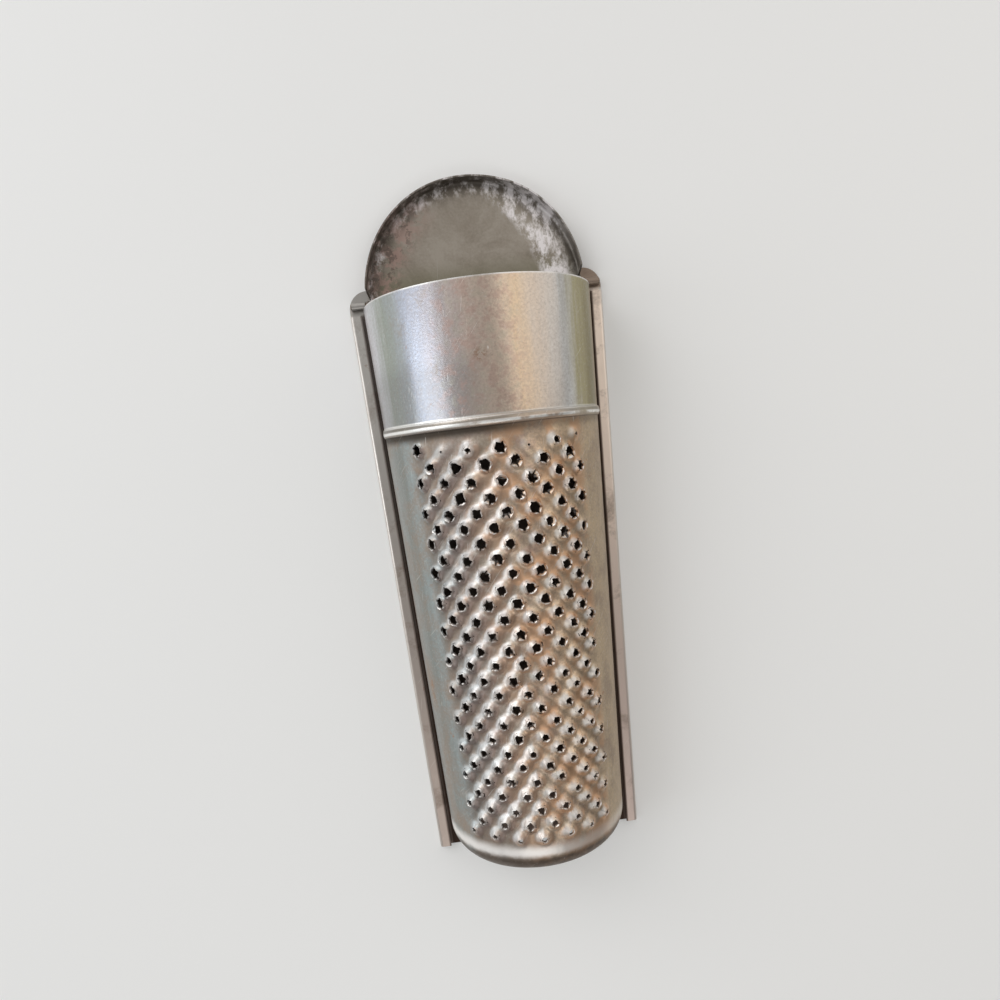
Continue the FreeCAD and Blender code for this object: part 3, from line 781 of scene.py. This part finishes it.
def front_material():
    """Worn tinplate: bright with soft lengthwise bands, partly painted reflections, over the
    compartment, duller and warmer between the teeth, with painted highlight and shade on
    their flanks, bare with a painted highlight at the torn rims, and painted brown-black
    shade in the throats."""
    material, tree, shader = new_material("front_tinplate")
    where = millimetres(tree)
    x, y, _ = axes(tree, where)
    side = maths(tree, "DIVIDE", x, plus(tree, wall_radius(0) / MM, y, taper))
    from_bead = maths(tree, "ADD", y, BEAD_DISTANCE / MM)
    plain = ranged(tree, from_bead, -1.7, 1.3)
    old = place_group(
        tree, tin_tarnish, Vector=where, Tin=banded_tin_and_reflections(tree, y, side, plain),
        Tarnish=TARNISH, Rust=RUST, Cloud_Scale=CLOUD_SCALE,
        Tarnish_Amount=ranged(tree, plain, 0, 1, 0.32, 0.14),
        Rust_Amount=ranged(tree, plain, 0, 1, 0.42, 0.34))
    marks = place_group(tree, scratches, Vector=where, Density=0.5)["Mask"]
    mottle = noise(tree, where, 0.42, 5, 0.65)
    grain = ranged(tree, old["Grain"], 0.3, 0.7, 0.0, 0.3)
    colour = mixed(tree, grain, old["Color"], BROWN_GRAIN)
    colour = handling(tree, colour, where, x, mottle)
    among_teeth = ranged(tree, maths(tree, "ABSOLUTE", side), 0.68, 0.78, 1, 0)
    toothed = product(tree, maths(tree, "SUBTRACT", 1.0, plain), among_teeth)
    colour = tooth_wear_and_painted_light(tree, colour, where, side, toothed)
    colour = toe_wear_and_painted_light(tree, colour, y, side, mottle)
    # A painted shadow under the bead on the toe's side, strongest on the left.
    under = product(tree, rise_and_fall(tree, from_bead, (-3.5, -1.6), (-1.1, -0.8)),
                    ranged(tree, side, -0.1, 0.5, 0.9, 0.4))
    colour = bead_wear_and_painted_light(tree, colour, where, from_bead, side, under)
    # Torn rims and the mouth's edge are bare tin with a painted highlight.
    rim = stored(tree, "rim")
    torn_and_highlit = product(tree, ranged(tree, rim, 0.3, 0.9), ranged(tree, mottle, 0.35, 0.5, 0.55, 1))
    colour = mixed(tree, torn_and_highlit, colour, TORN_TIN_AND_HIGHLIGHT)
    # The throats and cracks are painted near black as shade, with painted glints in patches.
    throat = ranged(tree, rim, -0.6, -0.1, 1, 0)
    glints = ranged(tree, noise(tree, where, 0.8, 2), 0.46, 0.6)
    colour = mixed(tree, throat, colour, mixed(tree, glints, THROAT_SHADE, THROAT_GLINT))
    colour = mixed(tree, product(tree, marks, 0.35), colour, SCRATCHED_TIN)
    rough = plus(tree, ranged(tree, plain, 0, 1, 0.43, 0.29), old["Dullness"], 0.12)
    rough = plus(tree, rough, throat, 0.3)
    matt = maths(tree, "MAXIMUM", throat, under)
    metal = product(tree, plus(tree, 1.0, old["Dullness"], -0.35), ranged(tree, matt, 0, 1, 1, 0.1))
    dents = noise(tree, millimetres(tree, (1, 0.35, 1)), 0.13, 2)
    height = plus(tree, product(tree, dents, 0.22), old["Grain"], 0.03)
    finished(tree, shader, colour, rough, metal, plus(tree, height, marks, -0.012))
    shader.inputs["Specular IOR Level"].default_value = 0.1
    return material


front.data.materials.append(front_material())
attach(front, "grater_body")
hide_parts("grater_front")


# ---- Back plate --------------------------------------------------------------------------
# A flat tapered sheet of the same tinplate.  Its long edges are folded over the front's
# flanges with pliers and hammered down, and it runs on past the mouth as a lip.

PLATE_HALF_WIDTH = 30.0 * MM
PLATE_TAPER = 0.0375
# The plate's tin with painted light: shaded on the left, lit on the right and towards the mouth.
SHADED_LEFT_TOE_TIN = (0.42, 0.35, 0.31)
SHADED_LEFT_MOUTH_TIN = (0.47, 0.45, 0.42)
LIT_RIGHT_TOE_TIN = (0.58, 0.47, 0.42)
LIT_RIGHT_MOUTH_TIN = (0.95, 0.8, 0.68)
PLATE_TARNISH = (0.2, 0.15, 0.115)
DARK_RUST = (0.22, 0.1, 0.05)
RUBBED_AND_HIGHLIT_FOLD = (0.74, 0.69, 0.64)
PLATE_SCRATCHES = (0.7, 0.66, 0.62)
INNER_FACE_SHADE = (0.016, 0.009, 0.006)
CREASE_DIRT_AND_SHADE = (0.06, 0.035, 0.025)
LIP_GREY = (0.2, 0.19, 0.18)
EAR_BROWN = (0.2, 0.14, 0.1)


def plate_material():
    """Handled tinplate: grey-brown, with painted light that leaves it darker on the left and
    lighter on the right and towards the mouth, worn bright on the folds with a painted
    highlight on their edges, dark with dirt and painted shade between them, and darkest
    inside along the walls in painted shade."""
    material, tree, shader = new_material("back_tinplate")
    where = millimetres(tree)
    x, y, z = axes(tree, where)
    # Painted light: darker on the left and towards the toe, lighter on the right and the mouth.
    rightward = ranged(tree, x, -8.0, 8.0)
    mouthward = ranged(tree, y, -125.0, -5.0)
    shaded_left_tin = mixed(tree, mouthward, SHADED_LEFT_TOE_TIN, SHADED_LEFT_MOUTH_TIN)
    lit_right_tin = mixed(tree, mouthward, LIT_RIGHT_TOE_TIN, LIT_RIGHT_MOUTH_TIN)
    old = place_group(
        tree, tin_tarnish, Vector=where, Tin=mixed(tree, rightward, shaded_left_tin, lit_right_tin),
        Tarnish=PLATE_TARNISH, Rust=DARK_RUST, Tarnish_Amount=0.22, Rust_Amount=0.36,
        Cloud_Scale=CLOUD_SCALE)
    marks = place_group(tree, scratches, Vector=where, Density=0.6)["Mask"]
    half_width = plus(tree, PLATE_HALF_WIDTH / MM, y, PLATE_TAPER)
    past_edge = maths(tree, "SUBTRACT", maths(tree, "ABSOLUTE", x), half_width)
    # Worn bright along the folds' edges, with a painted highlight there.
    highlit_and_rubbed = product(tree, ranged(tree, past_edge, -0.75, -0.25), 0.7)
    colour = mixed(tree, highlit_and_rubbed, old["Color"], RUBBED_AND_HIGHLIT_FOLD)
    colour = mixed(tree, product(tree, marks, 0.4), colour, PLATE_SCRATCHES)
    # Painted shade on the plate's face inside the front, darkest along the walls.
    inner_shade = product(
        tree, ranged(tree, past_edge, -3.4, -2.9, 1, 0),
        ranged(tree, past_edge, -8.0, -5.0, 0.2, 1), ranged(tree, z, 0.2, 0.3),
        ranged(tree, y, 0.2, 1.0, 1, 0))
    colour = mixed(tree, inner_shade, colour, INNER_FACE_SHADE)
    # Dirt and painted shade in the gaps between the folds and the front.
    within_folds = product(
        tree, ranged(tree, past_edge, -2.6, -2.15, 1, 0), ranged(tree, y, 0.0, 0.8, 1, 0),
        ranged(tree, rightward, 0, 1, 0.75, 0.9))
    colour = mixed(tree, within_folds, colour, CREASE_DIRT_AND_SHADE)
    colour = mixed(tree, ranged(tree, y, 0.0, 0.8, 0, 0.35), colour, LIP_GREY)
    ear = product(tree, ranged(tree, x, 24.0, 25.0), ranged(tree, y, 0.6, 1.2), 0.8)
    colour = mixed(tree, ear, colour, EAR_BROWN)
    rough = plus(tree, 0.36, old["Dullness"], 0.2)
    metal = plus(tree, plus(tree, 1.0, old["Dullness"], -0.4), rightward, -0.3)
    matt = maths(tree, "MAXIMUM", inner_shade, within_folds)
    metal = product(tree, metal, ranged(tree, matt, 0, 1, 1, 0))
    waves = noise(tree, millimetres(tree, (0.3, 0.16, 0.3)), 1.0, 2)
    height = plus(tree, product(tree, waves, 0.1), old["Grain"], 0.02)
    finished(tree, shader, colour, rough, metal, height)
    shader.inputs["Specular IOR Level"].default_value = 0.05
    return material


def dress(node, material):
    """Gives a CAD node one material in place of its own."""
    mesh = frame["nodes"][node].data
    mesh.materials.clear()
    mesh.materials.append(material)


dress("back_plate", plate_material())


# ---- Compartment floor -------------------------------------------------------------------
# A D-shaped partition cut from an offcut of the same sheet, its curved edge turned up and
# soldered to the wall under the bead.  It closes the nutmeg's compartment.

DULL_TIN = (0.4, 0.37, 0.33)
SPICE_STAIN = (0.17, 0.12, 0.08)


def floor_material():
    """Dull tinplate, stained by the spice."""
    material, tree, shader = new_material("partition_tinplate")
    old = place_group(
        tree, tin_tarnish, Vector=millimetres(tree), Tin=DULL_TIN, Tarnish=SPICE_STAIN,
        Rust=DARK_RUST, Tarnish_Amount=0.45, Rust_Amount=0.4, Cloud_Scale=CLOUD_SCALE)
    rough = ranged(tree, old["Dullness"], 0, 1, 0.4, 0.65)
    metal = ranged(tree, old["Dullness"], 0, 1, 1, 0.5)
    finished(tree, shader, old["Color"], rough, metal, old["Grain"], 0.03 * MM)
    return material


dress("compartment_floor", floor_material())


# ---- Lid ---------------------------------------------------------------------------------
# A D-shaped tinplate lid.  A skirt is drawn up round its curve, which plugs into the mouth,
# and its straight edge is curled round the hinge wire.  It lies open on its outer face.

LID_RADIUS = 25.6 * MM
DISH_DEPTH = 0.16 * MM
DRAW_RADIUS = 0.9 * MM
SKIRT_DEPTH = 4.0 * MM
SKIRT_WAVE = 0.15 * MM
SKIRT_STARTS = 0.2 * MM
SKIRT_WHOLE = 2.6 * MM
RIM_DIP = 0.04
LEAST_DRAW = 0.3
KNUCKLE = 1.0 * MM
CURL_FROM = math.radians(20)
CURL_TO = math.radians(270)
SLEEVE_PLAY = 0.1 * MM
LID_TILT = math.radians(0.9)
AROUND_STEPS = 96
CURL_STEPS = 16
PLATE_STEPS = 24
DRAW_STEPS = 5
SKIRT_STEPS = 5

hinge = Vector(frame["joints"][0]["pos_m"])
lid_centre = CENTRE_HEIGHT - hinge.z


def lid_points():
    """Outer face of the lid, flat on its back about the hinge line.  Columns run round the
    curve from one end to the other.  Rows start at the free end of the curl, go round the
    wire, along a chord of the plate to the curve, round a quarter bend of the draw radius
    and up the skirt, which dies away at both ends.  The plate is dished by a product of
    sines, and the skirt leans and ends in slow waves."""
    around = np.linspace(0, math.pi, AROUND_STEPS + 1)[None, :]
    cosine, sine = np.cos(around), np.sin(around)
    reach = LID_RADIUS - DRAW_RADIUS
    half_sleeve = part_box("lid")[1].x - SLEEVE_PLAY
    wrap = np.linspace(CURL_FROM, CURL_TO, CURL_STEPS + 1)[:, None]
    curl = (half_sleeve * cosine, KNUCKLE * np.cos(wrap), KNUCKLE * np.sin(wrap))
    part = steps(0, 1, PLATE_STEPS)[:, None]
    plate_x = cosine * (half_sleeve * (1 - part) + reach * part)
    dish = np.sin(math.pi * part) * sine * np.sin(1.2 * around + 2 * part) ** 2
    plate = (plate_x, part * (lid_centre + reach * sine), DISH_DEPTH * dish - KNUCKLE)
    kept = smooth(LID_RADIUS * sine, SKIRT_STARTS, SKIRT_WHOLE)
    bend = steps(0, math.pi / 2, DRAW_STEPS)[:, None]
    bend_r = reach + DRAW_RADIUS * np.sin(bend) * (LEAST_DRAW + (1 - LEAST_DRAW) * kept)
    bend_z = -KNUCKLE + DRAW_RADIUS * (1 - np.cos(bend)) * kept
    rise = steps(0, 1, SKIRT_STEPS)[:, None]
    height = SKIRT_DEPTH + GAUGE - DRAW_RADIUS
    skirt_r = bend_r[-1:] - SKIRT_WAVE * np.sin(2.5 * around + 1) ** 2 * rise
    skirt_z = bend_z[-1:] + rise * height * kept * (1 - RIM_DIP * np.sin(3.5 * around) ** 2)
    drawn = (bend_r * cosine, lid_centre + bend_r * sine, bend_z)
    skirt = (skirt_r * cosine, lid_centre + skirt_r * sine, skirt_z)
    return np.concatenate([
        np.stack(np.broadcast_arrays(*stretch), -1) for stretch in (curl, plate, drawn, skirt)])


lid_local = lid_points()
tilted = np.array(Matrix.Rotation(-LID_TILT, 3, "X"))
lid_world = lid_local @ tilted.T + np.array(hinge)
from_centre = np.hypot(lid_local[..., 0], lid_local[..., 1] - lid_centre)
lid = sheet_object(
    "lid_sheet", lid_world, grid_faces(*lid_local.shape[:2]).reshape(-1, 4),
    {"from_rim": (from_centre - LID_RADIUS) / MM})


LID_TIN = (0.37, 0.33, 0.28)
LID_TARNISH = (0.22, 0.185, 0.145)
LID_RUST = (0.24, 0.13, 0.09)
HINGE_SIDE_SHADE = (0.2, 0.185, 0.125)
WORN_METAL = (0.84, 0.8, 0.8)
REDDISH_RUST = (0.42, 0.27, 0.23)
DARK_SPOTS = (0.13, 0.1, 0.08)
SMUDGES = (0.14, 0.12, 0.1)
CORNER_SHADE = (0.09, 0.075, 0.06)
LID_SCRATCHES = (0.5, 0.48, 0.45)


def lid_material():
    """Dark tarnished tin with painted shade towards the hinge, worn to bright metal in patches
    near the rim, more so on the right, reddish with rust on the left, and in painted shade
    in the corner under the skirt."""
    material, tree, shader = new_material("lid_tinplate")
    where = millimetres(tree)
    x, y, _ = axes(tree, where)
    rim = stored(tree, "from_rim")
    old = place_group(
        tree, tin_tarnish, Vector=where, Tin=LID_TIN, Tarnish=LID_TARNISH, Rust=LID_RUST,
        Tarnish_Amount=0.32, Rust_Amount=0.3, Cloud_Scale=0.07)
    marks = place_group(tree, scratches, Vector=where, Density=0.45)["Mask"]
    # Painted shade on the lid towards the hinge.
    hinge_side_shade = ranged(tree, y, 4.5, 12.0, 0.8, 0)
    colour = mixed(tree, hinge_side_shade, old["Color"], HINGE_SIDE_SHADE)
    right = ranged(tree, x, 2.0, 16.0)
    ring = ranged(tree, plus(tree, rim, right, 6.0), -4.5, -2.0)
    spared = product(tree, right, ranged(tree, y, 12.0, 19.0, 1, 0),
                     ranged(tree, rim, -4.0, -2.0, 0.0, 0.75))
    ring = product(tree, ring, maths(tree, "SUBTRACT", 1.0, spared))
    patches = noise(tree, millimetres(tree, (1.2, 0.65, 1)), 0.42, 8, 0.72)
    level = plus(tree, ranged(tree, rim, -4.0, -2.0, 0.55, 0.47), right, -0.12)
    worn = product(tree, clamped(tree, excess(tree, patches, level, 6.5)), ring)
    colour = mixed(tree, worn, colour, WORN_METAL)
    left = product(tree, ranged(tree, x, -17.0, -5.0, 1, 0), ranged(tree, rim, -10.0, -5.0))
    reddish = product(tree, left, ranged(tree, noise(tree, where, 0.35, 8, 0.7), 0.41, 0.54))
    colour = mixed(tree, product(tree, reddish, 0.7), colour, REDDISH_RUST)
    dark_spots = ranged(tree, noise(tree, where, 0.45, 6, 0.7), 0.54, 0.6)
    colour = mixed(tree, product(tree, left, dark_spots, 0.7), colour, DARK_SPOTS)
    smudge = product(tree, ranged(tree, rim, -5.0, -2.5),
                     ranged(tree, patches, 0.42, 0.55, 0.6, 0))
    colour = mixed(tree, smudge, colour, SMUDGES)
    # Painted shade in the corner and up the skirt, lighter where worn.
    corner = product(tree, ranged(tree, rim, -2.2, -0.9, 0.0, 0.78),
                     ranged(tree, worn, 0, 1, 1, 0.3))
    colour = mixed(tree, corner, colour, CORNER_SHADE)
    colour = mixed(tree, product(tree, marks, 0.3), colour, LID_SCRATCHES)
    rough = plus(tree, plus(tree, 0.42, old["Dullness"], 0.2), worn, -0.08)
    metal = product(tree, plus(tree, 0.95, reddish, -0.5), ranged(tree, rim, -1.6, -0.7, 1, 0.35))
    height = plus(tree, product(tree, worn, 0.03), old["Grain"], 0.03)
    finished(tree, shader, colour, rough, metal, height)
    return material


lid.data.materials.append(lid_material())
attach(lid, "lid")
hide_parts("lid")


# ---- Hinge wire --------------------------------------------------------------------------
# A straight length of iron wire, nipped off at both ends, through the ears and the curl.
# Its surface has gone brown, and only the cuts are bright.

WIRE_IRON = (0.3, 0.22, 0.16)
WIRE_BROWN = (0.12, 0.075, 0.045)
WIRE_RUST = (0.22, 0.09, 0.04)
CUT_END = (0.7, 0.66, 0.62)


def wire_material():
    """Browned iron wire, bright where it was nipped off."""
    material, tree, shader = new_material("hinge_wire")
    where = millimetres(tree)
    old = place_group(
        tree, tin_tarnish, Vector=where, Tin=WIRE_IRON, Tarnish=WIRE_BROWN, Rust=WIRE_RUST,
        Tarnish_Amount=0.5, Rust_Amount=0.6, Cloud_Scale=0.5)
    from_middle = maths(tree, "ABSOLUTE", axes(tree, where)[0])
    colour = mixed(tree, ranged(tree, from_middle, 29.5, 29.58), old["Color"], CUT_END)
    rough = ranged(tree, old["Dullness"], 0, 1, 0.4, 0.7)
    metal = ranged(tree, old["Dullness"], 0, 1, 1, 0.5)
    finished(tree, shader, colour, rough, metal, old["Grain"], 0.04 * MM)
    return material


dress("hinge_pin", wire_material())


# ---- Table, light and camera -------------------------------------------------------------
# A plain pale table, four soft lamps above and around the grater, and a pale surround that
# is brightest on the left beyond the mouth.

TABLE_SIZE = 6.0
TABLE_PAINT = (0.88, 0.88, 0.87)

table_mesh = bpy.data.meshes.new("table_top")
corners = np.array([[-1, -1, 0], [1, -1, 0], [1, 1, 0], [-1, 1, 0]]) * TABLE_SIZE / 2
table_mesh.from_pydata(corners.tolist(), [], [(0, 1, 2, 3)])
table_top = new_object("table_top", table_mesh)
table_paint, tree, shader = new_material("table_top")
cloudy = noise(tree, millimetres(tree), 0.02, 2)
feed(tree, shader.inputs["Roughness"], ranged(tree, cloudy, 0.3, 0.7, 0.55, 0.6))
feed(tree, shader.inputs["Base Color"], TABLE_PAINT)
table_mesh.materials.append(table_paint)

GRATER_MIDDLE = Vector((0, -50 * MM, 10 * MM))


def area_light(name, place, size, power, colour):
    """A rectangular lamp that faces the middle of the grater."""
    lamp = bpy.data.lights.new(name, "AREA")
    lamp.shape = "RECTANGLE"
    lamp.size, lamp.size_y = size
    lamp.energy = power
    lamp.color = colour
    turned = (GRATER_MIDDLE - Vector(place)).to_track_quat("-Z", "Y").to_matrix().to_4x4()
    made = new_object(name, lamp)
    made.matrix_world = Matrix.Translation(place) @ turned


area_light("window", (-0.66, -0.08, 0.38), (0.25, 0.45), 0.8, (0.88, 0.95, 1.0))
area_light("key", (-0.5, 0.46, 0.4), (0.42, 0.42), 1.2, (0.97, 0.98, 1.0))
area_light("fill", (0.48, 0.15, 0.42), (0.6, 0.8), 1.05, (1.0, 0.96, 0.91))
area_light("front", (-0.03, -0.5, 0.5), (0.45, 0.3), 0.5, (1.0, 0.99, 0.97))

BRIGHTEST_TOWARDS = (-0.7, 0.65, 0.3)
GLOW_NARROWNESS = 3.0
LEAST_GLOW = 0.2
GLOW_TINT = (1, 0.99, 0.98)

world = bpy.data.worlds.new("studio")
world.use_nodes = True
tree = world.node_tree
toward = add(tree, "TexCoord", {}).outputs["Generated"]
facing = add(tree, "VectorMath", {0: toward, 1: BRIGHTEST_TOWARDS}, operation="DOT_PRODUCT")
glow = plus(tree, 0.5, facing.outputs["Value"], 0.5)
glow = maths(tree, "ADD", maths(tree, "POWER", glow, GLOW_NARROWNESS), LEAST_GLOW)
feed(tree, tree.nodes["Background"].inputs["Strength"], glow)
feed(tree, tree.nodes["Background"].inputs["Color"], GLOW_TINT)
bpy.context.scene.world = world
bpy.context.scene.view_settings.view_transform = "Standard"

# The camera looks down on the grater from almost straight overhead, a little turned.
CAMERA_PLACE = (-6.804 * MM, -32.301 * MM, 172.699 * MM)
CAMERA_RIGHT = (0.99191, -0.11707, 0.04916)
CAMERA_UP = (0.12074, 0.98945, -0.08001)
CAMERA_BACK = (-0.03927, 0.08530, 0.99558)
FOCAL_PIXELS = 710.0
IMAGE_PIXELS = 1000.0
SENSOR_WIDTH = 36.0
NEAREST_SEEN = 5 * MM

eye = bpy.data.cameras.new("camera")
eye.sensor_width = SENSOR_WIDTH
eye.lens = FOCAL_PIXELS / IMAGE_PIXELS * SENSOR_WIDTH
eye.clip_start = NEAREST_SEEN
camera = new_object("camera", eye)
facing_down = Matrix((CAMERA_RIGHT, CAMERA_UP, CAMERA_BACK)).transposed().to_4x4()
camera.matrix_world = Matrix.Translation(CAMERA_PLACE) @ facing_down
bpy.context.scene.camera = camera
